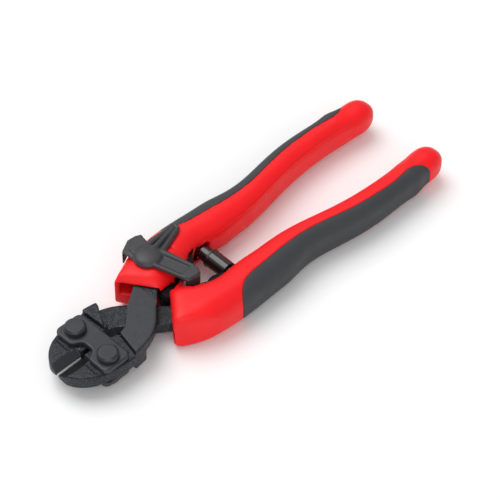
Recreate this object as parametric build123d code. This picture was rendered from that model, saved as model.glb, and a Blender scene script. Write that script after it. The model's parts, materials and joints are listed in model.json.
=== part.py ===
from build123d import *
import math
import os

# Compact bolt cutters, closed and latched.
# Millimetres. +Y points to the jaw tips, +X is the latch side, +Z is up.
# Everything is modelled about the parting plane of the tool (z = 0) and lifted by MID_Z at export,
# so that the undersides of the grips stand on z = 0.

MID_Z = 10.5               # height of the parting plane above the surface the tool lies on

# Linkage centres
JAW_PIVOT_X = 10.75
JAW_PIVOT_Y = 89.3
TAIL_PIN_X = 15.5
TAIL_PIN_Y = 24.5
HANDLE_PIVOT_Y = 43.0
SPRING_PIN_X = 12.8
SPRING_PIN_Y = 13.2

# Cutting head
WEB_HALF = 3.1             # half thickness of a jaw between the link plates
NOSE_HALF = 3.4            # half thickness of a jaw in front of the link plates
TAIL_TOP = 5.75            # face of a jaw tail above the parting plane
LAP_GAP = 0.15             # each half-lapped tail stays this far from the parting plane
LINK_THICK = 2.6
LINK_INNER = 3.15
LINK_HALF_WIDTH = 17.0
LINK_FRONT = 7.2           # plate edges measured from the jaw pivot line
LINK_BACK = 8.2
LINK_CORNER = 3.0
THROAT_MOUTH = 6.0         # half width of the throat at the front edge
THROAT_FLOOR = 3.2         # half width at its floor
THROAT_FLOOR_Y = 2.3
THROAT_ROUND = 2.6
RIVET_RADIUS = 4.0
RIVET_HEAD_RADIUS = 5.0
RIVET_HEAD_HEIGHT = 3.0
RIVET_HEAD_CHAMFER = 0.9
RUNNING_FIT = 0.05
EDGE_GAP = 0.3             # each cutting edge stays this far from the centre plane
EDGE_LAND = 0.35
TIP_Y = 20.2               # jaw tips measured from the jaw pivot line
EDGE_START_Y = 5.5
WIDE_BEVEL = 5.7
NARROW_BEVEL = 4.4
BEVEL_STEP_Y = 9.4

# Jaw tail and handle cores
EYE_RADIUS = 6.2
EYE_HALF = 3.0
EYE_STEP_RADIUS = 7.7      # the tail is cut down to the eye inside this circle
TAIL_PIN_RADIUS = 2.5
CHEEK_INNER = 3.15
CHEEK_OUTER = 5.9
CHEEK_RADIUS = 7.2
LUG_RADIUS = 4.5
LUG_TOP = 3.0
ARM_TOP = 5.0
PIVOT_BOLT_RADIUS = 2.3
PIVOT_BORE_LOOSE = 2.75
PIVOT_HEAD_RADIUS = 4.0
PIVOT_HEAD_HEIGHT = 1.0
PIVOT_ROOM_HALF = 4.5      # half height of the room the centre pivot needs in a grip
CORE_HALF_WIDTH = 3.6
CORE_HALF_HEIGHT = 4.0

# Grips: y, inner side x, outer side x, half height
GRIP_STATIONS = (
    (62.0, -1.0, 25.4, 9.6),
    (50.0, 0.4, 27.4, 10.5),
    (40.0, 2.2, 28.7, 10.8),
    (30.0, 8.2, 29.6, 10.8),
    (16.0, 9.6, 29.7, 10.6),
    (4.0, 9.1, 29.3, 10.3),
    (-10.0, 9.4, 28.0, 10.0),
    (-24.0, 11.0, 26.4, 9.7),
    (-38.0, 13.6, 28.2, 9.4),
    (-52.0, 15.8, 30.4, 9.1),
    (-66.0, 16.9, 31.1, 8.8),
    (-80.0, 17.0, 30.8, 8.5),
    (-92.0, 16.0, 30.6, 8.2),
    (-101.0, 15.2, 30.0, 8.0),
)
HOOD_INNER = {40.0: 1.6, 30.0: 4.4}    # the hooded grip reaches further in at these stations
GRIP_END_Y = -110.6
GRIP_CORNER = 0.86         # corner radius as a share of the smaller half size
HOOD_FRONT = ((0.4, 46.0), (19.4, 59.0))
PLAIN_FRONT = ((4.6, 46.6), (17.8, 57.2))
HOOD_ROLL = 2.8            # how far the front edges are taken off, above and below
PLAIN_ROLL = 1.6
FRONT_HALF_HEIGHT = 9.9
FRONT_CORNER = ((22.0, 52.2), (25.8, 45.6), (28.8, 38.0))
INLAY_DEPTH = 1.6
INLAY_LINE = (
    (36.0, 27.0),
    (28.6, 24.6),
    (23.0, 17.6),
    (21.2, 8.0),
    (20.2, -4.0),
    (19.6, -20.0),
    (21.2, -34.0),
    (24.2, -50.0),
    (25.6, -66.0),
    (25.4, -80.0),
    (25.0, -90.0),
    (27.5, -95.5),
    (36.0, -97.0),
)

# Latch
LATCH_X = 16.5
LATCH_Y = 40.4
LATCH_BASE = 11.1          # underside of the latch above the parting plane
LATCH_ARM_THICK = 1.9
LATCH_HUB_RADIUS = 7.2
LATCH_DOME_TOP = 15.0
LATCH_POST_RADIUS = 2.2
LUG_BOTTOM = 5.3

# Opening spring unit
SOCKET_RADIUS = 3.7
SOCKET_BORE = 3.05
SLEEVE_RADIUS = 4.4
PLUNGER_RADIUS = 2.95
PLUNGER_BORE = 2.2
SPRING_EYE_RADIUS = 2.6
SPRING_EYE_HALF = 1.9
SPRING_PIN_RADIUS = 1.2
COIL_RADIUS = 1.65
COIL_WIRE = 0.35
COIL_TURNS = 9
COIL_LENGTH = 15.2
COIL_START_X = -8.5
SPRING_SWINGS = (0, -8, -16)    # the unit swings this way as the handles open

FAR = 80.0                 # reach of cutting blocks that run past the part


def prism(face, low, high):
    """Extrude a flat face from one height to another."""
    return extrude(Pos(0, 0, low) * face, high - low)


def outline(points):
    """Face bounded by straight lines through the points."""
    return make_face(Polyline(*points, close=True))


def smooth_outline(curve_points, line_points):
    """Face with one smooth side and one straight-sided side that share their end points."""
    smooth = Spline(*curve_points)
    straight = Polyline(curve_points[-1], *line_points, curve_points[0])
    return make_face(Curve() + [smooth, straight])


def disc(x, y, radius, low, high):
    """Upright cylinder."""
    return prism(Pos(x, y) * Circle(radius), low, high)


def block(x0, x1, y0, y1, z0, z1):
    """Box between two opposite corners."""
    size = Box(x1 - x0, y1 - y0, z1 - z0)
    return Pos((x0 + x1) / 2, (y0 + y1) / 2, (z0 + z1) / 2) * size


def lying_tube(x0, x1, radius):
    """Solid rod along X on the axis of the spring unit."""
    rod = Cylinder(radius, x1 - x0)
    return Pos((x0 + x1) / 2, SPRING_PIN_Y, 0) * Rot(0, 90, 0) * rod


def turn_over(shape):
    """The same forging on the other side: half a turn about the tool's long axis."""
    return Rot(0, 180, 0) * shape


# ---------------------------------------------------------------- jaws

JAW_OUTER = (
    (-EDGE_GAP, TIP_Y),
    (-6.0, 19.2),
    (-11.0, 15.8),
    (-14.9, 10.1),
    (-17.1, 3.2),
    (-17.9, -4.0),
    (-17.7, -11.0),
    (-16.7, -17.5),
    (-14.2, -24.0),
    (-11.6, -27.8),
    (-5.8, -33.6),
    (-1.0, -38.2),
    (4.2, -43.6),
    (6.9, -50.0),
    (8.4, -56.0),
    (9.4, -62.0),
)
JAW_INNER = (
    (15.5, -64.8),
    (21.6, -62.0),
    (20.9, -54.5),
    (17.4, -44.3),
    (12.2, -35.8),
    (4.9, -25.4),
    (1.0, -21.6),
    (-3.2, -17.0),
    (-4.4, -12.9),
    (-3.2, -9.5),
    (-1.7, -5.0),
    (-1.1, 0.0),
    (-1.1, EDGE_START_Y),
    (-EDGE_GAP, EDGE_START_Y + 0.8),
)
TAIL_FRONT = ((-FAR, FAR), (-FAR, 2.0), (-18.3, -10.1), (-4.4, -12.9), (FAR, -12.9), (FAR, FAR))
STUB = ((-19.5, -9.6), (-3.6, -10.3), (-15.0, -17.0), (-19.5, -18.5))


def jaw_region(low, high):
    """Whole plan of a jaw as a plate between two heights, pivot line at y = 0."""
    return prism(smooth_outline(JAW_OUTER, JAW_INNER), low, high)


def bevel_cut(width, side):
    """Wedge that grinds one face of a jaw down to the cutting edge."""
    top = side * (NOSE_HALF + 1.0)
    rise = (NOSE_HALF - EDGE_LAND) / width
    corners = (
        (1.0, side * (EDGE_LAND - rise)),
        (1.0, top),
        (-EDGE_GAP - width - 1.0 / rise, top),
        (-EDGE_GAP - width, side * NOSE_HALF),
        (-EDGE_GAP, side * EDGE_LAND),
    )
    section = Plane.XZ * make_face(Polyline(*corners, close=True))
    return Pos(0, TIP_Y + 1.0, 0) * extrude(section, TIP_Y + 1.0 - EDGE_START_Y)


def make_left_jaw():
    """Jaw on the plain-handle side of the head; its tail crosses on top to the latch side."""
    tail_x = TAIL_PIN_X
    tail_y = TAIL_PIN_Y - JAW_PIVOT_Y
    front = block(-FAR, FAR, -13.4, FAR, -FAR, FAR)
    nose = block(-FAR, FAR, BEVEL_STEP_Y, FAR, -FAR, FAR)
    web = jaw_region(-WEB_HALF, WEB_HALF) & front
    nose_part = jaw_region(-NOSE_HALF, NOSE_HALF) & nose
    tail = jaw_region(LAP_GAP, TAIL_TOP) - prism(outline(TAIL_FRONT), LAP_GAP, TAIL_TOP)
    tail = tail - disc(tail_x, tail_y, EYE_STEP_RADIUS, EYE_HALF, TAIL_TOP)
    stub = jaw_region(-TAIL_TOP, 0) & prism(outline(STUB), -TAIL_TOP, 0)
    eye = disc(tail_x, tail_y, EYE_RADIUS, -EYE_HALF, EYE_HALF)
    jaw = web + nose_part + tail + stub + eye
    jaw = jaw - bevel_cut(WIDE_BEVEL, 1) - bevel_cut(NARROW_BEVEL, -1)
    bore = disc(-JAW_PIVOT_X, 0, RIVET_RADIUS + RUNNING_FIT, -FAR, FAR)
    eye_bore = disc(tail_x, tail_y, TAIL_PIN_RADIUS + RUNNING_FIT, -FAR, FAR)
    return Pos(0, JAW_PIVOT_Y, 0) * (jaw - bore - eye_bore)


# ---------------------------------------------------------------- link plates and rivets

def make_link_plate():
    """Upper link plate: rounded corners and a U-shaped throat between the two pivots."""
    height = LINK_FRONT + LINK_BACK
    body = RectangleRounded(2 * LINK_HALF_WIDTH, height, LINK_CORNER)
    body = Pos(0, (LINK_FRONT - LINK_BACK) / 2) * body
    throat = (
        (THROAT_MOUTH, LINK_FRONT),
        (THROAT_FLOOR, THROAT_FLOOR_Y),
        (-THROAT_FLOOR, THROAT_FLOOR_Y),
        (-THROAT_MOUTH, LINK_FRONT),
        (0, LINK_FRONT + THROAT_MOUTH),
    )
    face = body - outline(throat)
    bends = [v for v in face.vertices() if abs(v.X) < THROAT_MOUTH + 0.1]
    face = fillet(bends, THROAT_ROUND)
    plate = prism(face, LINK_INNER, LINK_INNER + LINK_THICK)
    rim = plate.faces().sort_by(Axis.Z)[-1].edges()
    plate = chamfer(rim, 0.45)
    for side in (-1, 1):
        plate = plate - disc(side * JAW_PIVOT_X, 0, RIVET_RADIUS, 0, FAR)
    return Pos(0, JAW_PIVOT_Y, 0) * plate


def make_rivet(side):
    """Jaw pivot with an equal chamfered head on each face."""
    plate_face = LINK_INNER + LINK_THICK
    body = disc(0, 0, RIVET_RADIUS, -plate_face, plate_face)
    for up in (-1, 1):
        low = plate_face if up > 0 else -plate_face - RIVET_HEAD_HEIGHT
        head = disc(0, 0, RIVET_HEAD_RADIUS, low, low + RIVET_HEAD_HEIGHT)
        faces = head.faces().filter_by(Axis.Z).sort_by(Axis.Z)
        rim = faces[-1].edges() if up > 0 else faces[0].edges()
        body = body + chamfer(rim, RIVET_HEAD_CHAMFER)
    return Pos(side * JAW_PIVOT_X, JAW_PIVOT_Y, 0) * body


# ---------------------------------------------------------------- handle cores

CORE_PATH = ((20.2, 8.0), (19.2, -8.0), (18.8, -24.0), (22.2, -46.0), (24.0, -66.0), (23.8, -92.0))
CHEEK = (
    (9.4, 28.5),
    (9.4, 19.4),
    (11.3, 17.6),
    (11.3, 8.2),
    (14.0, 5.0),
    (24.5, 5.0),
    (24.5, 16.0),
    (22.6, 26.0),
)
LUG_ARM = (
    (-3.6, 40.3),
    (0.2, 36.4),
    (2.8, 31.0),
    (4.2, 26.0),
    (5.8, 22.6),
    (8.0, 20.8),
    (10.4, 19.4),
    (10.4, 21.4),
    (7.3, 29.0),
    (5.6, 37.2),
    (4.4, 42.0),
)


def core_bar():
    """Bar that runs back inside the grip."""
    bar = None
    for (x0, y0), (x1, y1) in zip(CORE_PATH, CORE_PATH[1:]):
        length = math.hypot(x1 - x0, y1 - y0)
        angle = math.degrees(math.atan2(y1 - y0, x1 - x0))
        face = Pos((x0 + x1) / 2, (y0 + y1) / 2) * Rot(0, 0, angle) * Rectangle(length, 2 * CORE_HALF_WIDTH)
        run = prism(face, -CORE_HALF_HEIGHT, CORE_HALF_HEIGHT)
        knuckle = disc(x1, y1, CORE_HALF_WIDTH, -CORE_HALF_HEIGHT, CORE_HALF_HEIGHT)
        bar = run + knuckle if bar is None else bar + run + knuckle
    return bar


def make_right_frame():
    """Latch-side core: fork round the jaw tail, upper knuckle lug at the centre pivot, bar."""
    cheek_face = outline(CHEEK) + Pos(TAIL_PIN_X, TAIL_PIN_Y) * Circle(CHEEK_RADIUS)
    cheeks = prism(cheek_face, CHEEK_INNER, CHEEK_OUTER) + prism(cheek_face, -CHEEK_OUTER, -CHEEK_INNER)
    yoke = block(17.4, 24.5, 5.0, 16.0, -CHEEK_OUTER, CHEEK_OUTER)
    arm = prism(outline(LUG_ARM), LAP_GAP, ARM_TOP)
    arm = arm - disc(0, HANDLE_PIVOT_Y, LUG_RADIUS + 2.0, LUG_TOP, ARM_TOP)
    lug = disc(0, HANDLE_PIVOT_Y, LUG_RADIUS, LAP_GAP, LUG_TOP)
    frame = cheeks + yoke + core_bar() + arm + lug
    eye_room = disc(TAIL_PIN_X, TAIL_PIN_Y, EYE_RADIUS + 0.35, -CHEEK_INNER, CHEEK_INNER)
    spring_room = disc(SPRING_PIN_X, SPRING_PIN_Y, SPRING_EYE_RADIUS + 1.4, -2.3, 2.3)
    pin_hole = disc(TAIL_PIN_X, TAIL_PIN_Y, TAIL_PIN_RADIUS, -FAR, FAR)
    spring_hole = disc(SPRING_PIN_X, SPRING_PIN_Y, SPRING_PIN_RADIUS, -FAR, FAR)
    return frame - eye_room - spring_room - pin_hole - spring_hole


def lug_bore(radius):
    """Hole for the centre pivot."""
    return disc(0, HANDLE_PIVOT_Y, radius, -FAR, FAR)


def make_pivot_bolt():
    """Centre pivot bolt with a low round head on top."""
    shank = disc(0, HANDLE_PIVOT_Y, PIVOT_BOLT_RADIUS, -LUG_TOP - PIVOT_HEAD_HEIGHT, LUG_TOP)
    head = disc(0, HANDLE_PIVOT_Y, PIVOT_HEAD_RADIUS, LUG_TOP, LUG_TOP + PIVOT_HEAD_HEIGHT)
    head = chamfer(head.faces().sort_by(Axis.Z)[-1].edges(), 0.4)
    return shank + head


def make_pivot_nut():
    """Round nut under the lower knuckle lug."""
    nut = disc(0, HANDLE_PIVOT_Y, PIVOT_HEAD_RADIUS, -LUG_TOP - PIVOT_HEAD_HEIGHT, -LUG_TOP - 0.05)
    return nut - lug_bore(PIVOT_BOLT_RADIUS)


def make_pivot_washer():
    """Thin thrust washer between the two knuckle lugs."""
    face_gap = LAP_GAP - 0.03
    washer = disc(0, HANDLE_PIVOT_Y, LUG_RADIUS - 0.4, -face_gap, face_gap)
    return washer - lug_bore(PIVOT_BORE_LOOSE)


# ---------------------------------------------------------------- grips

def grip_section(y, inner, outer, half_height, inset, scale=1.0):
    """Rounded section of a grip at one station, set in by a margin."""
    half_width = ((outer - inner) / 2 - inset) * scale
    half = (half_height - inset) * scale
    corner = GRIP_CORNER * min(half_width, half)
    plane = Plane(origin=((inner + outer) / 2, y, 0), x_dir=(1, 0, 0), z_dir=(0, -1, 0))
    return plane * RectangleRounded(2 * half_width, 2 * half, corner)


def grip_body(inset, reaches):
    """Smooth outer form of a grip before anything is cut from it; reaches replaces inner sides by y."""
    sections = []
    for y, inner, outer, half_height in GRIP_STATIONS:
        sections.append(grip_section(y, reaches.get(y, inner), outer, half_height, inset))
    y, inner, outer, half_height = GRIP_STATIONS[-1]
    reach = y - GRIP_END_Y - inset
    for angle in (28, 50, 68, 81):
        turn = math.radians(angle)
        end_y = y - reach * math.sin(turn)
        shift = -0.35 * (1 - math.cos(turn))
        sections.append(grip_section(end_y, inner + shift, outer + shift, half_height, inset, math.cos(turn)))
    return loft(sections)


def under_floor():
    """Everything below the surface the tool lies on; it leaves the grips a flat to rest on."""
    return block(-FAR, FAR, -2 * FAR, 2 * FAR, -FAR, -MID_Z)


def front_cut(edge):
    """Block that cuts a grip off along its slanted front line."""
    (x0, y0), (x1, y1) = edge
    slope = (y1 - y0) / (x1 - x0)
    near = (-FAR, y0 - slope * (x0 + FAR))
    points = (near, (x1, y1), *FRONT_CORNER, (FAR, 36.0), (FAR, 150.0), (-FAR, 150.0))
    return prism(outline(points), -FAR, FAR)


def front_roll(edge, size):
    """Sloped cuts that take the upper and lower edges off the slanted front of a grip."""
    (x0, y0), (x1, y1) = edge
    along = Vector(x1 - x0, y1 - y0, 0).normalized()
    forward = Vector(-along.Y, along.X, 0)
    start = Plane(origin=(x1, y1, 0), x_dir=forward, z_dir=along)
    side = 1 if start.y_dir.Z > 0 else -1
    cuts = []
    for level in (side, -side):
        high = FRONT_HALF_HEIGHT + 3.0
        low = FRONT_HALF_HEIGHT - size - 3.0
        corners = ((-size - 3.0, level * high), (3.0, level * high), (3.0, level * low))
        section = start * make_face(Polyline(*corners, close=True))
        cuts.append(extrude(section, FAR, both=True))
    return cuts[0] + cuts[1]


TAIL_ROOM = (
    (-6.0, 62.0),
    (-2.4, 52.2),
    (3.4, 45.4),
    (6.1, 39.0),
    (7.6, 33.0),
    (8.6, 24.5),
    (15.5, 17.6),
    (22.6, 24.5),
    (23.9, 31.0),
    (23.6, 37.0),
    (22.4, 44.4),
    (18.9, 53.9),
    (15.4, 62.0),
)


def tail_room(side):
    """Space inside a grip in which the jaw tail swings; side is +1 for the upper tail."""
    low = -0.5 if side > 0 else -6.3
    high = 6.3 if side > 0 else 0.5
    room = prism(outline(TAIL_ROOM), low, high)
    room = room + disc(TAIL_PIN_X, TAIL_PIN_Y, EYE_RADIUS + 0.5, -CHEEK_INNER, CHEEK_INNER)
    return room + disc(0, HANDLE_PIVOT_Y, LUG_RADIUS + 0.8, -PIVOT_ROOM_HALF, PIVOT_ROOM_HALF)


def spring_room():
    """Slot in the inner wall of a grip for the end of the spring unit."""
    slot = block(0, SPRING_PIN_X + 3.6, SPRING_PIN_Y - 4.6, SPRING_PIN_Y + 4.6, -3.1, 3.1)
    tube = lying_tube(-1.0, SPRING_PIN_X - 2.4, SLEEVE_RADIUS + 0.9)
    for swing in SPRING_SWINGS:
        turned = Rot(0, 0, swing) * Pos(-SPRING_PIN_X, -SPRING_PIN_Y) * tube
        slot = slot + Pos(SPRING_PIN_X, SPRING_PIN_Y) * turned
    return slot


def make_inlay(body, edge, reaches):
    """Charcoal panel on the outer side of a grip."""
    shell = body - grip_body(INLAY_DEPTH, reaches)
    line = Spline(*INLAY_LINE)
    back = Polyline(INLAY_LINE[-1], (60.0, -97.0), (60.0, 27.0), INLAY_LINE[0])
    region = prism(make_face(Curve() + [line, back]), -FAR, FAR)
    return (shell & region) - front_cut(edge) - under_floor()


CATCH_TAB = ((4.6, 46.2), (1.8, 41.2), (0.9, 36.9), (2.0, 36.3), (3.2, 37.4), (12.0, 37.4), (12.0, 46.2))
CATCH_TAB_BOTTOM = 4.8
CATCH_TAB_TOP = 6.7


def catch_tab():
    """Shelf on the plain grip behind which the lug of the latch drops."""
    return prism(outline(CATCH_TAB), CATCH_TAB_BOTTOM, CATCH_TAB_TOP)


def make_grip(body, inlay, frame, pins, edge, roll, side):
    """Red moulded body of a grip with the room its mechanism needs."""
    grip = body - front_cut(edge) - front_roll(edge, roll) - inlay
    grip = grip - tail_room(side) - spring_room() - frame - pins
    return grip - under_floor()


# ---------------------------------------------------------------- latch

LATCH_LONG_ARM = ((12.6, 43.8), (-7.5, 37.9), (-8.4, 31.9), (-7.5, 30.2), (-4.6, 28.8), (14.2, 32.8))
LATCH_THUMB = (
    (11.6, 36.0),
    (17.8, 20.2),
    (19.6, 18.0),
    (22.6, 16.8),
    (24.1, 18.4),
    (24.0, 33.0),
    (22.6, 38.0),
)
LATCH_OUTER_ARM = ((20.0, 46.6), (26.8, 47.0), (30.4, 40.8), (29.9, 36.0), (28.6, 33.2), (20.0, 35.0))
LATCH_FLANGE = ((26.8, 47.0), (30.4, 40.8), (30.0, 37.2), (29.4, 37.3), (29.4, 40.4), (26.5, 46.2))
LATCH_LUG = ((-7.2, 37.0), (-8.2, 31.9), (-7.3, 30.3), (-5.2, 29.2), (-4.6, 30.6), (-5.4, 36.2))


def make_latch():
    """Moulded latch: domed hub, long arm with its lug, thumb arm, outer arm with its flange."""
    top = LATCH_BASE + LATCH_ARM_THICK
    latch = disc(LATCH_X, LATCH_Y, LATCH_HUB_RADIUS, LATCH_BASE, top)
    for plan in (LATCH_LONG_ARM, LATCH_THUMB, LATCH_OUTER_ARM):
        latch = latch + prism(outline(plan), LATCH_BASE, top)
    dome_height = LATCH_DOME_TOP - top
    ball_radius = (LATCH_HUB_RADIUS ** 2 + dome_height ** 2) / (2 * dome_height)
    ball = Pos(LATCH_X, LATCH_Y, LATCH_DOME_TOP - ball_radius) * Sphere(ball_radius)
    latch = latch + (ball & disc(LATCH_X, LATCH_Y, LATCH_HUB_RADIUS, top - 0.2, FAR))
    latch = latch + prism(outline(LATCH_LUG), LUG_BOTTOM, top)
    latch = latch + prism(outline(LATCH_FLANGE), 4.0, top)
    return latch - disc(LATCH_X, LATCH_Y, LATCH_POST_RADIUS + RUNNING_FIT, 0, top)


def make_latch_post():
    """Shouldered post moulded into the roof of the hood."""
    foot = disc(LATCH_X, LATCH_Y, 4.4, 7.0, 8.2)
    return foot + disc(LATCH_X, LATCH_Y, LATCH_POST_RADIUS, 8.2, LATCH_BASE + LATCH_ARM_THICK - 0.1)


def make_wave_washer():
    """Wave spring washer under the latch hub."""
    washer = disc(LATCH_X, LATCH_Y, 5.0, LATCH_BASE - 0.2, LATCH_BASE - 0.02)
    return washer - disc(LATCH_X, LATCH_Y, LATCH_POST_RADIUS + 0.1, 0, FAR)


# ---------------------------------------------------------------- opening spring unit

def spring_eye(side):
    """Flat eye at one end of the spring unit."""
    x = side * SPRING_PIN_X
    return disc(x, SPRING_PIN_Y, SPRING_EYE_RADIUS, -SPRING_EYE_HALF, SPRING_EYE_HALF)


def spring_eye_bore(side, extra):
    """Hole through an eye."""
    radius = SPRING_PIN_RADIUS + RUNNING_FIT
    x = side * SPRING_PIN_X
    hole = disc(x, SPRING_PIN_Y, radius, -FAR, FAR)
    if extra == 0:
        return hole
    slot = block(x - extra, x + extra, SPRING_PIN_Y - radius, SPRING_PIN_Y + radius, -FAR, FAR)
    ends = disc(x - extra, SPRING_PIN_Y, radius, -FAR, FAR) + disc(x + extra, SPRING_PIN_Y, radius, -FAR, FAR)
    return hole + slot + ends


def make_spring_socket():
    """Tube that hangs from the latch-side handle."""
    neck = lying_tube(8.2, SPRING_PIN_X - 1.5, 1.8)
    tube = lying_tube(-6.4, 8.6, SOCKET_RADIUS) - lying_tube(-7.0, 7.4, SOCKET_BORE)
    return spring_eye(1) + neck + tube - spring_eye_bore(1, 0)


def make_spring_sleeve():
    """Middle sleeve with a rolled rim and one flat."""
    sleeve = lying_tube(-7.6, 4.4, SLEEVE_RADIUS) + lying_tube(3.4, 4.4, SLEEVE_RADIUS + 0.35)
    sleeve = sleeve - lying_tube(-6.5, 5.0, SOCKET_RADIUS + 0.06)
    return sleeve - lying_tube(-8.0, -6.0, PLUNGER_RADIUS + 0.06)


def make_spring_plunger():
    """Hollow ribbed rod on the plain-handle side."""
    rod = lying_tube(-10.0, 7.2, PLUNGER_RADIUS) - lying_tube(-9.0, 8.0, PLUNGER_BORE)
    neck = lying_tube(-SPRING_PIN_X + 1.5, -9.6, 1.8)
    for x in (-9.9, -8.9):
        rod = rod + (lying_tube(x, x + 0.5, PLUNGER_RADIUS + 0.4) - lying_tube(x - 1, x + 1, PLUNGER_BORE))
    cap = lying_tube(-10.0, -9.0, PLUNGER_RADIUS)
    return spring_eye(-1) + neck + rod + cap - spring_eye_bore(-1, 0.45)


def make_opening_spring():
    """Steel coil inside the tubes."""
    length = COIL_LENGTH
    pitch = length / COIL_TURNS
    path = Helix(pitch, length, COIL_RADIUS)
    start = Plane(origin=path @ 0, z_dir=path % 0)
    wire = sweep(start * Circle(COIL_WIRE), path=path, is_frenet=True)
    return Pos(COIL_START_X, SPRING_PIN_Y, 0) * Rot(0, 90, 0) * wire


def make_spring_clip():
    """Retaining clip round the neck of the socket."""
    ring = lying_tube(9.0, 9.7, 2.7) - lying_tube(8.8, 9.9, 1.8)
    return ring - block(8.8, 9.9, SPRING_PIN_Y - 0.9, SPRING_PIN_Y + 0.9, -4.0, 0)


def spring_pin(side):
    """Hinge pin of the spring unit."""
    return disc(side * SPRING_PIN_X, SPRING_PIN_Y, SPRING_PIN_RADIUS, -CHEEK_OUTER, CHEEK_OUTER)


def tail_pin(side):
    """Pin that joins a jaw tail to its handle core."""
    return disc(side * TAIL_PIN_X, TAIL_PIN_Y, TAIL_PIN_RADIUS, -CHEEK_OUTER, CHEEK_OUTER)


def mirror_side(shape):
    """Reflect a shape in the centre plane of the tool."""
    return mirror(shape, about=Plane.YZ)


def build_parts():
    """All nodes of the tool by name."""
    parts = {}
    left_jaw = make_left_jaw()
    parts["left_jaw"] = left_jaw
    parts["right_jaw"] = turn_over(left_jaw)
    link = make_link_plate()
    parts["upper_link_plate"] = link
    parts["lower_link_plate"] = turn_over(link)
    parts["left_jaw_rivet"] = make_rivet(-1)
    parts["right_jaw_rivet"] = make_rivet(1)

    frame = make_right_frame()
    right_frame = frame - lug_bore(PIVOT_BOLT_RADIUS)
    left_frame = turn_over(frame - lug_bore(PIVOT_BORE_LOOSE))
    parts["right_handle_frame"] = right_frame
    parts["left_handle_frame"] = left_frame
    parts["handle_pivot_bolt"] = make_pivot_bolt()
    parts["handle_pivot_nut"] = make_pivot_nut()
    parts["handle_pivot_washer"] = make_pivot_washer()
    parts["right_tail_pin"] = tail_pin(1)
    parts["left_tail_pin"] = tail_pin(-1)

    hooded_body = grip_body(0, HOOD_INNER)
    plain_body = grip_body(0, {})
    right_inlay = make_inlay(hooded_body, HOOD_FRONT, HOOD_INNER)
    left_inlay = make_inlay(plain_body, PLAIN_FRONT, {})
    post = make_latch_post()
    pins = tail_pin(1) + spring_pin(1)
    parts["right_grip"] = make_grip(hooded_body, right_inlay, right_frame, pins, HOOD_FRONT, HOOD_ROLL, 1)
    parts["right_grip"] = parts["right_grip"] - post
    left_frame_mirrored = mirror_side(left_frame)
    left_grip = make_grip(plain_body, left_inlay, left_frame_mirrored, pins, PLAIN_FRONT, PLAIN_ROLL, -1)
    lug_room = block(3.4, 9.6, 27.6, 37.4, 3.4, FAR)
    parts["left_grip"] = mirror_side(left_grip + catch_tab() - lug_room)
    parts["right_grip_inlay"] = right_inlay
    parts["left_grip_inlay"] = mirror_side(left_inlay)

    parts["latch"] = make_latch()
    parts["latch_post"] = post
    parts["latch_wave_washer"] = make_wave_washer()

    parts["spring_socket"] = make_spring_socket()
    parts["spring_sleeve"] = make_spring_sleeve()
    parts["spring_plunger"] = make_spring_plunger()
    parts["opening_spring"] = make_opening_spring()
    parts["spring_clip"] = make_spring_clip()
    parts["right_spring_pin"] = spring_pin(1)
    parts["left_spring_pin"] = spring_pin(-1)
    return parts


os.makedirs("parts", exist_ok=True)
for name, shape in build_parts().items():
    export_step(Pos(0, 0, MID_Z) * shape, "parts/" + name + ".step")
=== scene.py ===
import json
import math

import bmesh
import bpy
import numpy as np
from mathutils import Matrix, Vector


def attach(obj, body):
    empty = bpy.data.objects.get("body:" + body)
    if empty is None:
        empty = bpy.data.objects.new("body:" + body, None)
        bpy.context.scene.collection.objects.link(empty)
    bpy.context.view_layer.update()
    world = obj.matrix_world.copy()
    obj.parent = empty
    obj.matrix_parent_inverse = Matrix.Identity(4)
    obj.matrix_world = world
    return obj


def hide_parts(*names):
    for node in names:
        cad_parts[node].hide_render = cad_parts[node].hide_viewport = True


# Compact bolt cutters. Metres, in the frame of the CAD model: +Y to the jaw tips, +X the latch side.
# Plans below are written in millimetres; heights are above the parting plane of the tool.

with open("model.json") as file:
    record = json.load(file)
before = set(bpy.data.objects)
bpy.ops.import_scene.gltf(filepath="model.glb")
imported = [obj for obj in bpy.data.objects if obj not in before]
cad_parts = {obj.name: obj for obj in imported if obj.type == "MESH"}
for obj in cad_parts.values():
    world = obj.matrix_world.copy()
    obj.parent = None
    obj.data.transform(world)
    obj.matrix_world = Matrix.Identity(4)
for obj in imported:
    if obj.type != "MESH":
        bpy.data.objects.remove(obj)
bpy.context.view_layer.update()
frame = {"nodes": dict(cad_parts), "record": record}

MM = 0.001
PARTING_PLANE = 10.5
BODY_OF = {
    node: body
    for body, nodes in frame["record"]["behaviour"]["bodies"].items()
    for node in nodes
}


# ---------------------------------------------------------------- mesh tools

def new_object(name, mesh):
    """Link a mesh into the scene as an object."""
    obj = bpy.data.objects.new(name, mesh)
    bpy.context.scene.collection.objects.link(obj)
    return obj


def apply_modifiers(obj):
    """Turn an object's modifiers into its mesh."""
    depsgraph = bpy.context.evaluated_depsgraph_get()
    mesh = bpy.data.meshes.new_from_object(obj.evaluated_get(depsgraph))
    obj.modifiers.clear()
    obj.vertex_groups.clear()
    obj.data = mesh


def weld(mesh):
    """Join the loose edges that the frame's file leaves along creases."""
    bm = bmesh.new()
    bm.from_mesh(mesh)
    bmesh.ops.remove_doubles(bm, verts=bm.verts, dist=1e-6)
    bm.to_mesh(mesh)
    bm.free()


def remesh(obj, grain):
    """Even skin over everything in the object, with faces of the given size in millimetres."""
    skin = obj.modifiers.new("skin", "REMESH")
    skin.mode = "VOXEL"
    skin.voxel_size = grain * MM
    skin.use_smooth_shade = True
    apply_modifiers(obj)


def points_of(obj):
    """Vertex positions in millimetres, with height above the parting plane."""
    flat = np.zeros(len(obj.data.vertices) * 3)
    obj.data.vertices.foreach_get("co", flat)
    points = flat.reshape(-1, 3) / MM
    points[:, 2] -= PARTING_PLANE
    return points


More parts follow.
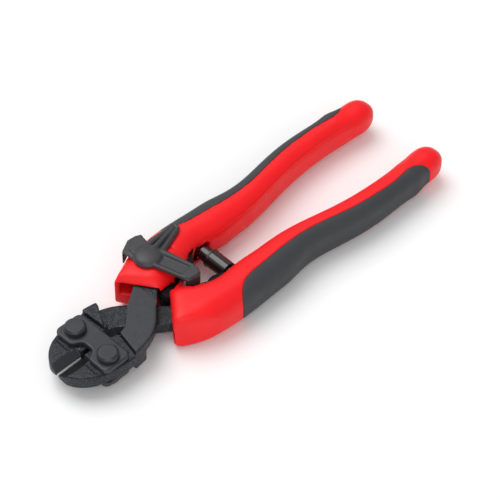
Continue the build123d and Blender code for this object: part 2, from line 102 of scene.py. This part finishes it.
def set_points(obj, points):
    """Write back positions that came from points_of."""
    moved = points.copy()
    moved[:, 2] += PARTING_PLANE
    obj.data.vertices.foreach_set("co", (moved * MM).ravel())
    obj.data.update()


def normals_of(obj):
    """Vertex normals."""
    flat = np.zeros(len(obj.data.vertices) * 3)
    obj.data.vertex_normals.foreach_get("vector", flat)
    return flat.reshape(-1, 3)


def ease(value, low, high):
    """0 below low, 1 above high, smooth between."""
    t = np.clip((value - low) / (high - low), 0, 1)
    return t * t * (3 - 2 * t)


def soften(obj, rounds, weight=None):
    """Wear the edges round. weight is a function from points to 0..1."""
    smooth = obj.modifiers.new("soften", "SMOOTH")
    smooth.factor = 0.5
    smooth.iterations = rounds
    if weight is not None:
        group = obj.vertex_groups.new(name="soften")
        share = weight(points_of(obj))
        for index in np.nonzero(share > 0.01)[0]:
            group.add([int(index)], float(share[index]), "REPLACE")
        smooth.vertex_group = group.name
    apply_modifiers(obj)


def thin_out(obj, ratio):
    """Drop faces where the surface is plain."""
    thin = obj.modifiers.new("thin", "DECIMATE")
    thin.ratio = ratio
    apply_modifiers(obj)


def finished(obj, node, material):
    """Smooth shading, material, body and the CAD node that the piece stands for."""
    obj.data.materials.clear()
    obj.data.materials.append(material)
    obj.data.polygons.foreach_set("use_smooth", [True] * len(obj.data.polygons))
    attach(obj, BODY_OF[node])
    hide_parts(node)


def worked_copy(node, name, grain):
    """The shape of a CAD node as one even skin, ready to be worked."""
    mesh = frame["nodes"][node].data.copy()
    weld(mesh)
    obj = new_object(name, mesh)
    remesh(obj, grain)
    return obj


def distance_to_line(points, line):
    """Distance of each point from a chain of straight runs, in plan or in space."""
    size = len(line[0])
    nearest = np.full(len(points), 1e9)
    for first, last in zip(line, line[1:]):
        run = np.array(last, float) - np.array(first, float)
        offset = points[:, :size] - np.array(first, float)
        share = np.clip(offset @ run / (run @ run), 0, 1)
        gap = np.linalg.norm(offset - share[:, None] * run, axis=1)
        nearest = np.minimum(nearest, gap)
    return nearest


def press(obj, line, width, depth):
    """Press a groove (or raise a ridge, with a negative depth) along a line in space."""
    points = points_of(obj)
    share = np.exp(-((distance_to_line(points, line) / width) ** 2))
    set_points(obj, points - normals_of(obj) * (share * depth)[:, None])


# ---------------------------------------------------------------- closed forms for the moulded latch

def lift(x, y, z):
    """Millimetres above the parting plane to metres in the frame."""
    return Vector((x, y, z + PARTING_PLANE)) * MM


def add_plate(bm, outline, low, high, draft=0.0):
    """Closed plate over an outline; its top is drawn in towards the middle by the draft."""
    middle = Vector((sum(x for x, y in outline), sum(y for x, y in outline))) / len(outline)
    bottom = [bm.verts.new(lift(x, y, low)) for x, y in outline]
    top = []
    for x, y in outline:
        inward = (middle - Vector((x, y))).normalized() * draft
        top.append(bm.verts.new(lift(x + inward.x, y + inward.y, high)))
    bm.faces.new(bottom[::-1])
    bm.faces.new(top)
    count = len(outline)
    for i in range(count):
        j = (i + 1) % count
        bm.faces.new((bottom[i], bottom[j], top[j], top[i]))


def add_rib(bm, start, end, radius0, radius1):
    """Closed rib with round ends between two points, tapering from one radius to the other."""
    a, b = Vector(start), Vector(end)
    run = (b - a).normalized()
    side = run.cross(Vector((0, 0, 1))).normalized()
    up = side.cross(run)
    rings = []
    steps = 6
    for end_point, radius, sign in ((a, radius0, -1), (b, radius1, 1)):
        turns = [math.pi / 2 * k / steps for k in range(steps)]
        if sign < 0:
            turns = turns[::-1]
        for turn in turns:
            centre = end_point + run * sign * radius * math.sin(turn)
            rings.append((centre, radius * math.cos(turn)))
    loops = []
    sides = 24
    for centre, radius in rings:
        loop = []
        for k in range(sides):
            angle = 2 * math.pi * k / sides
            offset = side * radius * math.cos(angle) + up * radius * math.sin(angle)
            point = centre + offset
            loop.append(bm.verts.new(lift(*point)))
        loops.append(loop)
    for lower, upper in zip(loops, loops[1:]):
        for k in range(sides):
            j = (k + 1) % sides
            bm.faces.new((lower[k], lower[j], upper[j], upper[k]))
    bm.faces.new(loops[0][::-1])
    bm.faces.new(loops[-1])


def add_turned(bm, x, y, profile, sides=64):
    """Closed turned form about an upright axis; profile runs from the bottom centre to the top centre."""
    loops = []
    for radius, height in profile[1:-1]:
        loop = []
        for k in range(sides):
            angle = 2 * math.pi * k / sides
            place = lift(x + radius * math.cos(angle), y + radius * math.sin(angle), height)
            loop.append(bm.verts.new(place))
        loops.append(loop)
    foot = bm.verts.new(lift(x, y, profile[0][1]))
    crown = bm.verts.new(lift(x, y, profile[-1][1]))
    for k in range(sides):
        j = (k + 1) % sides
        bm.faces.new((foot, loops[0][j], loops[0][k]))
        bm.faces.new((crown, loops[-1][k], loops[-1][j]))
        for lower, upper in zip(loops, loops[1:]):
            bm.faces.new((lower[k], lower[j], upper[j], upper[k]))


LATCH_HUB = (16.5, 40.4)
HUB_RADIUS = 6.9
DOME_RADIUS = 6.4
LATCH_BASE = 11.1
FLOOR_TOP = 12.2
RIM_TOP = 13.1
DOME_TOP = 14.5
LONG_ARM = ((12.6, 43.6), (-7.4, 37.7), (-8.2, 31.9), (-7.3, 30.3), (-4.6, 28.9), (14.2, 32.7))
LONG_ARM_END = (
    (-3.0, 38.9),
    (-7.4, 37.7),
    (-8.2, 31.9),
    (-7.3, 30.3),
    (-4.6, 28.9),
    (-1.2, 29.6),
    (-1.8, 34.4),
)
THUMB_ARM = (
    (11.8, 36.0),
    (17.9, 20.4),
    (19.7, 18.2),
    (22.5, 17.1),
    (23.9, 18.6),
    (23.8, 33.0),
    (22.4, 38.0),
)
OUTER_ARM = ((20.0, 46.4), (26.8, 46.9), (30.3, 40.7), (29.8, 36.0), (28.5, 33.4), (20.0, 35.2))
OUTER_STEP = (
    (19.0, 45.6),
    (24.8, 44.6),
    (27.6, 40.8),
    (28.6, 36.6),
    (28.2, 34.2),
    (24.0, 34.4),
    (19.0, 36.0),
)
FLANGE = ((26.8, 46.9), (30.3, 40.7), (29.9, 37.4), (29.5, 37.4), (29.5, 40.4), (26.6, 46.0))
LUG = ((-7.1, 36.9), (-8.1, 31.9), (-7.2, 30.4), (-4.6, 29.2), (-3.7, 30.7), (-4.1, 36.4))
LUG_FOOT = 5.35
FLANGE_FOOT = 4.05
ARM_RIBS = (
    ((11.4, 42.4, 12.1), (-4.6, 37.6, 12.0), 1.2, 1.0),
    ((14.2, 34.4, 12.0), (-2.4, 30.2, 12.0), 1.7, 1.15),
)
THUMB_RIBS = (
    ((13.4, 36.2, 12.0), (19.2, 20.4, 12.2), 1.5, 1.05),
    ((17.2, 37.0, 12.9), (21.2, 20.2, 12.4), 1.5, 0.9),
    ((21.2, 37.0, 12.0), (22.7, 19.6, 12.2), 1.6, 1.05),
    ((20.2, 18.9, 12.1), (22.2, 18.5, 12.1), 1.1, 1.1),
)
LATCH_GRAIN = 0.2
HUB_ROUNDS = 30
LATCH_ROUNDS = 4
LATCH_KEPT = 0.6


def hub_profile():
    """Side view of the hub: low drum under a wide dome."""
    profile = [(0, LATCH_BASE), (HUB_RADIUS - 0.2, LATCH_BASE), (HUB_RADIUS, LATCH_BASE + 0.3),
               (HUB_RADIUS, FLOOR_TOP), (DOME_RADIUS, RIM_TOP - 0.4)]
    steps = 10
    for k in range(1, steps):
        turn = math.pi / 2 * k / steps
        rise = (DOME_TOP - RIM_TOP + 0.4) * math.sin(turn)
        profile.append((DOME_RADIUS * math.cos(turn), RIM_TOP - 0.4 + rise))
    profile.append((0, DOME_TOP))
    return profile


def near_hub(points):
    """1 where the arms run into the dome, 0 away from it."""
    gap = np.hypot(points[:, 0] - LATCH_HUB[0], points[:, 1] - LATCH_HUB[1])
    above_floor = ease(points[:, 2], FLOOR_TOP - 0.3, FLOOR_TOP + 0.3)
    return (1 - ease(gap, HUB_RADIUS + 0.6, HUB_RADIUS + 2.4)) * above_floor


def build_latch(material):
    """Moulded latch with its domed hub, bordered long arm, ribbed thumb arm and wrapped outer arm."""
    bm = bmesh.new()
    add_turned(bm, *LATCH_HUB, hub_profile())
    add_plate(bm, LONG_ARM, LATCH_BASE, FLOOR_TOP)
    for rib in ARM_RIBS:
        add_rib(bm, *rib)
    add_plate(bm, LONG_ARM_END, LATCH_BASE, RIM_TOP, 0.8)
    add_plate(bm, LUG, LUG_FOOT, LATCH_BASE + 0.3)
    add_plate(bm, THUMB_ARM, LATCH_BASE, FLOOR_TOP)
    for rib in THUMB_RIBS:
        add_rib(bm, *rib)
    add_plate(bm, OUTER_ARM, LATCH_BASE, FLOOR_TOP + 0.2, 0.3)
    add_plate(bm, OUTER_STEP, LATCH_BASE, RIM_TOP + 0.2, 0.5)
    add_plate(bm, FLANGE, FLANGE_FOOT, LATCH_BASE + 0.3)
    mesh = bpy.data.meshes.new("latch_moulding")
    bm.to_mesh(mesh)
    bm.free()
    obj = new_object("latch_moulding", mesh)
    remesh(obj, LATCH_GRAIN)
    soften(obj, HUB_ROUNDS, near_hub)
    soften(obj, LATCH_ROUNDS)
    thin_out(obj, LATCH_KEPT)
    finished(obj, "latch", material)


# ---------------------------------------------------------------- materials

def srgb(red, green, blue):
    """Screen colour, 0 to 255, as linear light."""
    def linear(value):
        share = value / 255
        return share / 12.92 if share <= 0.04045 else ((share + 0.055) / 1.055) ** 2.4
    return (linear(red), linear(green), linear(blue), 1.0)


class Surface:
    """A node material in the making, with its texture coordinates in the piece's own space."""

    def __init__(self, name):
        self.material = bpy.data.materials.new(name)
        self.material.use_nodes = True
        self.tree = self.material.node_tree
        self.shader = self.tree.nodes["Principled BSDF"]
        self.place = self.add("ShaderNodeTexCoord").outputs["Object"]

    def add(self, kind, **settings):
        node = self.tree.nodes.new(kind)
        for key, value in settings.items():
            setattr(node, key, value)
        return node

    def link(self, output, socket):
        self.tree.links.new(output, socket)

    def noise(self, size_mm, detail=2.0, stretch=None):
        """Noise whose features are about size_mm across."""
        source = self.place
        if stretch is not None:
            mapping = self.add("ShaderNodeMapping")
            mapping.inputs["Scale"].default_value = stretch
            self.link(source, mapping.inputs["Vector"])
            source = mapping.outputs["Vector"]
        noise = self.add("ShaderNodeTexNoise")
        noise.inputs["Scale"].default_value = 1000.0 / size_mm
        noise.inputs["Detail"].default_value = detail
        self.link(source, noise.inputs["Vector"])
        return noise.outputs["Fac"]

    def ramp(self, value, low, high, from_low=0.3, from_high=0.7):
        """Map a value between two numbers."""
        node = self.add("ShaderNodeMapRange")
        node.inputs["From Min"].default_value = from_low
        node.inputs["From Max"].default_value = from_high
        node.inputs["To Min"].default_value = low
        node.inputs["To Max"].default_value = high
        self.link(value, node.inputs["Value"])
        return node.outputs["Result"]

    def mix(self, factor, first, second):
        """Blend two colours or colour outputs."""
        node = self.add("ShaderNodeMix", data_type="RGBA")
        self.link(factor, node.inputs[0])
        for value, socket in ((first, node.inputs[6]), (second, node.inputs[7])):
            if isinstance(value, tuple):
                socket.default_value = value
            else:
                self.link(value, socket)
        return node.outputs[2]

    def bump(self, height, strength, depth_mm, after=None):
        """Raise the surface by a height output."""
        node = self.add("ShaderNodeBump")
        node.inputs["Strength"].default_value = strength
        node.inputs["Distance"].default_value = depth_mm * MM
        self.link(height, node.inputs["Height"])
        if after is not None:
            self.link(after, node.inputs["Normal"])
        return node.outputs["Normal"]

    def colour(self, output):
        self.link(output, self.shader.inputs["Base Color"])

    def roughness(self, output):
        self.link(output, self.shader.inputs["Roughness"])

    def normal(self, output):
        self.link(output, self.shader.inputs["Normal"])

    def math(self, operation, first, second=None):
        """One step of arithmetic on outputs or numbers."""
        node = self.add("ShaderNodeMath", operation=operation)
        for value, socket in ((first, node.inputs[0]), (second, node.inputs[1])):
            if isinstance(value, (int, float)):
                socket.default_value = value
            elif value is not None:
                self.link(value, socket)
        return node.outputs[0]

    def place_mm(self, axis):
        """One coordinate of the surface point in millimetres."""
        split = self.add("ShaderNodeSeparateXYZ")
        self.link(self.place, split.inputs["Vector"])
        return self.math("MULTIPLY", split.outputs[axis], 1000.0)

    def past(self, value, start, full):
        """0 before start and 1 after full."""
        return self.ramp(value, 0.0, 1.0, start, full)

    def level_share(self, low=0.75, high=0.95):
        """1 on faces that look straight up or down, 0 on the sides."""
        coordinate = self.add("ShaderNodeTexCoord")
        split = self.add("ShaderNodeSeparateXYZ")
        self.link(coordinate.outputs["Normal"], split.inputs["Vector"])
        return self.past(self.math("ABSOLUTE", split.outputs["Z"]), low, high)


def dark(colour, share):
    """The same colour with less light."""
    return (colour[0] * share, colour[1] * share, colour[2] * share, 1.0)


def moulded_plastic(name, colour, rough, grain_mm, grain_depth):
    """Moulded plastic: slight clouding of the colour, fine texture, uneven gloss."""
    surface = Surface(name)
    cloud = surface.noise(14.0, 3.0)
    surface.colour(surface.mix(surface.ramp(cloud, 0.0, 1.0), colour, dark(colour, 0.93)))
    surface.roughness(surface.ramp(surface.noise(5.0, 3.0), rough - 0.04, rough + 0.06))
    fine = surface.bump(surface.noise(grain_mm, 2.0), 0.5, grain_depth)
    surface.normal(surface.bump(cloud, 0.3, 0.05, fine))
    return surface


GROUND_FROM_Y = 52.0
GROUND_HEIGHT = 5.2
NOSE_FROM_Y = 94.9
EDGE_LAND_HALF = 0.42


def forged_steel(name, ground_side, painted_bevel_light):
    """Blackened grainy forging with light specks, partly painted glints; ground_side is +1 or -1, the face
    of the tail that is ground smooth. The last argument is painted light on the nose bevel, and the edge
    land carries a painted highlight.
    """
    surface = Surface(name)
    # Light specks on the grain: partly the forging's own grain, partly painted glints.
    speck_and_glint = surface.ramp(surface.noise(0.42, 3.0), 0.0, 1.0, 0.52, 0.7)
    rough_colour_and_glint = surface.mix(speck_and_glint, srgb(15, 17, 20), srgb(88, 95, 105))
    offset = surface.math("SUBTRACT", surface.place_mm("Z"), PARTING_PLANE)
    height = surface.math("MULTIPLY", offset, ground_side)
    above = surface.past(height, GROUND_HEIGHT, GROUND_HEIGHT + 0.25)
    ground = surface.math("MULTIPLY", above, surface.level_share())
    behind = surface.past(surface.place_mm("Y"), GROUND_FROM_Y, GROUND_FROM_Y + 0.25)
    ground = surface.math("MULTIPLY", ground, behind)
    lines = surface.ramp(surface.noise(0.25, 3.0, (1.0, 0.06, 1.0)), 0.0, 1.0)
    ground_colour = surface.mix(lines, srgb(48, 50, 54), srgb(58, 60, 65))

    in_nose = surface.past(surface.place_mm("Y"), NOSE_FROM_Y, NOSE_FROM_Y + 0.3)
    not_level = surface.math("SUBTRACT", 1.0, surface.level_share(0.9, 0.96))
    slope = surface.math("MULTIPLY", not_level, surface.level_share(0.55, 0.62))
    bevel = surface.math("MULTIPLY", in_nose, slope)
    from_centre = surface.math("ABSOLUTE", surface.place_mm("X"))
    away = surface.past(from_centre, EDGE_LAND_HALF, EDGE_LAND_HALF + 0.15)
    land = surface.math("MULTIPLY", in_nose, surface.math("SUBTRACT", 1.0, away))

    colour = surface.mix(ground, rough_colour_and_glint, ground_colour)
    # The nose bevel takes the jaw's painted light: painted shade on the left jaw, a painted reflection on
    # the right jaw.
    colour = surface.mix(bevel, colour, painted_bevel_light)
    # Edge land: bare ground steel, painted near white as a highlight.
    surface.colour(surface.mix(land, colour, srgb(205, 206, 208)))
    surface.shader.inputs["Metallic"].default_value = 0.3
    surface.roughness(surface.ramp(surface.noise(1.2, 2.0), 0.42, 0.56))
    smooth = surface.math("MAXIMUM", surface.math("MAXIMUM", ground, bevel), land)
    strength = surface.math("MULTIPLY", surface.math("SUBTRACT", 1.0, smooth), 0.6)
    normal = surface.bump(surface.noise(0.42, 3.0), 0.6, 0.1)
    surface.link(strength, normal.node.inputs["Strength"])
    surface.normal(normal)
    return surface.material


def plate_steel():
    """Black oxide on stamped plate: satin, with faint rubbing."""
    surface = Surface("plate_steel")
    cloud = surface.noise(6.0, 4.0)
    surface.colour(surface.mix(surface.ramp(cloud, 0.0, 1.0), srgb(42, 43, 47), srgb(52, 53, 58)))
    surface.shader.inputs["Metallic"].default_value = 0.3
    surface.roughness(surface.ramp(surface.noise(1.5, 3.0), 0.3, 0.42))
    surface.normal(surface.bump(surface.noise(0.5, 2.0), 0.3, 0.03))
    return surface.material


def pivot_black():
    """Oiled black steel of the handle cores and the centre pivot."""
    surface = Surface("pivot_black")
    cloud = surface.noise(3.0, 3.0)
    surface.colour(surface.mix(surface.ramp(cloud, 0.0, 1.0), srgb(9, 9, 10), srgb(16, 16, 18)))
    surface.shader.inputs["Specular IOR Level"].default_value = 0.12
    surface.roughness(surface.ramp(surface.noise(0.8, 3.0), 0.5, 0.64))
    return surface.material


def bright_steel():
    """Plain turned steel pins, coil and washers."""
    surface = Surface("bright_steel")
    streak = surface.noise(0.4, 3.0, (1.0, 1.0, 6.0))
    surface.colour(surface.mix(surface.ramp(streak, 0.0, 1.0), srgb(190, 190, 192), srgb(160, 160, 164)))
    surface.shader.inputs["Metallic"].default_value = 1.0
    surface.roughness(surface.ramp(streak, 0.25, 0.4))
    return surface.material


def red_plastic():
    """Red moulded grips, satin with a soft highlight."""
    surface = moulded_plastic("red_plastic", (0.9, 0.006, 0.010, 1), 0.42, 0.5, 0.012)
    surface.shader.inputs["Specular IOR Level"].default_value = 0.32
    return surface.material


def soft_charcoal():
    """Soft-touch charcoal panels, matt with a fine pebble."""
    return moulded_plastic("soft_charcoal", (0.036, 0.037, 0.042, 1), 0.62, 0.35, 0.03).material


def black_plastic():
    """Glass-filled black plastic of the latch."""
    return moulded_plastic("black_plastic", (0.036, 0.034, 0.038, 1), 0.46, 0.3, 0.02).material


def smoked_plastic():
    """Glossy brown-black plastic of the spring unit."""
    surface = moulded_plastic("smoked_plastic", (0.012, 0.007, 0.007, 1), 0.2, 0.8, 0.01)
    surface.shader.inputs["Coat Weight"].default_value = 0.4
    return surface.material


# The last colour of each jaw is painted light on the nose bevel: near black is painted shade, blue-grey is a
# painted reflection.
JAW_STEEL = {
    "left_jaw": forged_steel("left_jaw_steel", 1, srgb(9, 10, 12)),
    "right_jaw": forged_steel("right_jaw_steel", -1, srgb(40, 44, 50)),
}
PIVOT_BLACK = pivot_black()
PLATE = plate_steel()
BRIGHT = bright_steel()
RED = red_plastic()
CHARCOAL = soft_charcoal()
BLACK = black_plastic()
SMOKED = smoked_plastic()


# ---------------------------------------------------------------- pieces

JAW_GRAIN = 0.28
RIM_ROUNDS = 60
JAW_ROUNDS = 3
JAW_KEPT = 0.6
JAW_RIM = (
    (-0.3, 109.5),
    (-6.0, 108.5),
    (-11.0, 105.1),
    (-14.9, 99.4),
    (-17.1, 92.5),
    (-17.9, 85.3),
    (-17.7, 78.3),
    (-16.7, 71.8),
    (-14.2, 65.3),
    (-11.6, 61.5),
    (-5.8, 55.7),
    (-1.0, 51.1),
)
RIM_REACH = 2.6


def build_jaw(node):
    """Forged jaw: crisp inner edges, outer rim rounded over."""
    side = 1 if node == "left_jaw" else -1
    rim = [(side * x, y) for x, y in JAW_RIM]

    def near_rim(points):
        share = 1 - ease(distance_to_line(points, rim), 0.6 * RIM_REACH, RIM_REACH)
        return share * ease(np.abs(points[:, 0]), 2.0, 4.5)

    obj = worked_copy(node, node + "_forging", JAW_GRAIN)
    soften(obj, RIM_ROUNDS, near_rim)
    soften(obj, JAW_ROUNDS)
    thin_out(obj, JAW_KEPT)
    finished(obj, node, JAW_STEEL[node])


LIP_START = 40.0
LIP_FULL = 47.0
LIP_SKIN_ROUNDS = 200
LIP_ROUNDS = 30
LIP_ROOF = (6.5, 7.6)
LIP_WALL = (24.4, 25.6)
GRIP_GRAIN = 0.42
GRIP_ROUNDS = 3
STEP_BEHIND_LATCH = ((21.0, 29.8, 10.3), (15.8, 28.7, 10.6), (11.6, 27.4, 9.4), (8.9, 26.0, 7.0))
STEP_WIDTH = 0.8
STEP_DEPTH = 0.55
PANEL_HALF_HEIGHT = 5.0
PANEL_BACK = -94.0
PANEL_FRONT = 12.0
PANEL_DEPTH = 0.3


def front_lip(points):
    """1 at the thick front lip of a grip, 0 behind it."""
    return ease(points[:, 1], LIP_START, LIP_FULL)


def lip_skin(points):
    """1 on the outside of the front lip, clear of the room for the jaw tail."""
    flat = ease(np.abs(points[:, 2]), *LIP_ROOF)
    wall = ease(np.abs(points[:, 0]), *LIP_WALL)
    return front_lip(points) * np.maximum(flat, wall)


def sink_panel(obj, side):
    """Shallow plain panel in the wall that faces the other handle."""
    points = points_of(obj)
    normals = normals_of(obj)
    share = ease(-side * normals[:, 0], 0.55, 0.7)
    share = share * (1 - ease(np.abs(points[:, 2]), PANEL_HALF_HEIGHT, PANEL_HALF_HEIGHT + 0.5))
    share = share * ease(points[:, 1], PANEL_BACK, PANEL_BACK + 0.8)
    share = share * (1 - ease(points[:, 1], PANEL_FRONT - 0.8, PANEL_FRONT))
    points[:, 0] += side * PANEL_DEPTH * share
    set_points(obj, points)


def build_grip(node):
    """Red grip moulding with thick round lips at the front."""
    side = 1 if node == "right_grip" else -1
    obj = worked_copy(node, node + "_moulding", GRIP_GRAIN)
    soften(obj, LIP_SKIN_ROUNDS, lip_skin)
    soften(obj, LIP_ROUNDS, front_lip)
    soften(obj, GRIP_ROUNDS)
    sink_panel(obj, side)
    if side > 0:
        press(obj, STEP_BEHIND_LATCH, STEP_WIDTH, STEP_DEPTH)
    finished(obj, node, RED)


# Ending of the piece's name, grain in millimetres, rounds of wear, share of faces kept, material.
EVENLY_WORN = {
    "stamped plate": ("_stamping", 0.2, 14, 0.5, PLATE),
    "turned rivet": ("_turning", 0.16, 1, 0.4, PLATE),
    "soft panel": ("_moulding", 0.36, 2, 0.7, CHARCOAL),
    "spring unit": ("_moulding", 0.16, 2, 0.5, SMOKED),
}


def build_worn(node, kind):
    """Piece whose edges are worn evenly all round."""
    ending, grain, rounds, kept, material = EVENLY_WORN[kind]
    obj = worked_copy(node, node + ending, grain)
    soften(obj, rounds)
    thin_out(obj, kept)
    finished(obj, node, material)


for side in ("left", "right"):
    build_jaw(side + "_jaw")
    build_worn(side + "_jaw_rivet", "turned rivet")
    build_grip(side + "_grip")
    build_worn(side + "_grip_inlay", "soft panel")
for level in ("upper", "lower"):
    build_worn(level + "_link_plate", "stamped plate")
build_latch(BLACK)
for part in ("socket", "sleeve", "plunger"):
    build_worn("spring_" + part, "spring unit")

CAD_MATERIALS = {
    "right_handle_frame": PIVOT_BLACK,
    "left_handle_frame": PIVOT_BLACK,
    "handle_pivot_bolt": PIVOT_BLACK,
    "handle_pivot_nut": PIVOT_BLACK,
    "handle_pivot_washer": BRIGHT,
    "right_tail_pin": BRIGHT,
    "left_tail_pin": BRIGHT,
    "latch_post": BRIGHT,
    "latch_wave_washer": BRIGHT,
    "opening_spring": BRIGHT,
    "spring_clip": BRIGHT,
    "right_spring_pin": BRIGHT,
    "left_spring_pin": BRIGHT,
}
for node, material in CAD_MATERIALS.items():
    mesh = frame["nodes"][node].data
    mesh.materials.clear()
    mesh.materials.append(material)


# ---------------------------------------------------------------- floor, light, camera

def build_floor():
    """Plain pale sweep under the tool."""
    bm = bmesh.new()
    bmesh.ops.create_grid(bm, x_segments=8, y_segments=8, size=3.0)
    mesh = bpy.data.meshes.new("studio_floor")
    bm.to_mesh(mesh)
    bm.free()
    floor = new_object("studio_floor", mesh)
    floor.location.z = -0.0001
    surface = Surface("studio_white")
    tone = surface.noise(400.0, 1.0)
    surface.colour(surface.mix(surface.ramp(tone, 0.0, 1.0), (0.93, 0.93, 0.93, 1), (0.94, 0.94, 0.94, 1)))
    surface.shader.inputs["Roughness"].default_value = 0.9
    surface.shader.inputs["Specular IOR Level"].default_value = 0.1
    mesh.materials.append(surface.material)


def add_sky(name, towards, spread, strength):
    """Broad even light from one direction, with a soft shadow."""
    light = bpy.data.lights.new(name, "SUN")
    light.energy = strength
    light.angle = math.radians(spread)
    obj = bpy.data.objects.new(name, light)
    obj.rotation_euler = Vector(towards).to_track_quat("Z", "Y").to_euler()
    bpy.context.scene.collection.objects.link(obj)


# Where each light comes from, its spread in degrees and its strength.
LIGHTS = {
    "key": ((0.5, 0.05, 1.0), 50, 1.8),
    "fill": ((-1.0, 0.9, 0.9), 60, 1.0),
}
SURROUND = 0.45


def build_light():
    """Soft light from above, leaning to the latch side, a weaker one from the front left, a dim surround."""
    world = bpy.data.worlds.new("studio")
    world.use_nodes = True
    background = world.node_tree.nodes["Background"]
    background.inputs["Color"].default_value = (1, 1, 1, 1)
    background.inputs["Strength"].default_value = SURROUND
    bpy.context.scene.world = world
    for name, (towards, spread, strength) in LIGHTS.items():
        add_sky(name, towards, spread, strength)


CAMERA_AZIMUTH = 225.76
CAMERA_HEIGHT = 46.79
CAMERA_DISTANCE = 1.055
CAMERA_TARGET = (-0.00438, -0.00338, 0.010)
CAMERA_LENS = 165.6


def build_camera():
    """Long lens from the front left, a little above halfway up."""
    turn = math.radians(CAMERA_AZIMUTH)
    rise = math.radians(CAMERA_HEIGHT)
    back = Vector((math.sin(turn) * math.cos(rise), -math.cos(turn) * math.cos(rise), math.sin(rise)))
    camera = bpy.data.cameras.new("camera")
    camera.lens = CAMERA_LENS
    camera.sensor_width = 36.0
    camera.clip_start = 0.01
    obj = bpy.data.objects.new("camera", camera)
    obj.location = Vector(CAMERA_TARGET) + back * CAMERA_DISTANCE
    obj.rotation_euler = (-back).to_track_quat("-Z", "Y").to_euler()
    bpy.context.scene.collection.objects.link(obj)
    bpy.context.scene.camera = obj


build_floor()
build_light()
build_camera()
bpy.context.scene.view_settings.view_transform = "Standard"
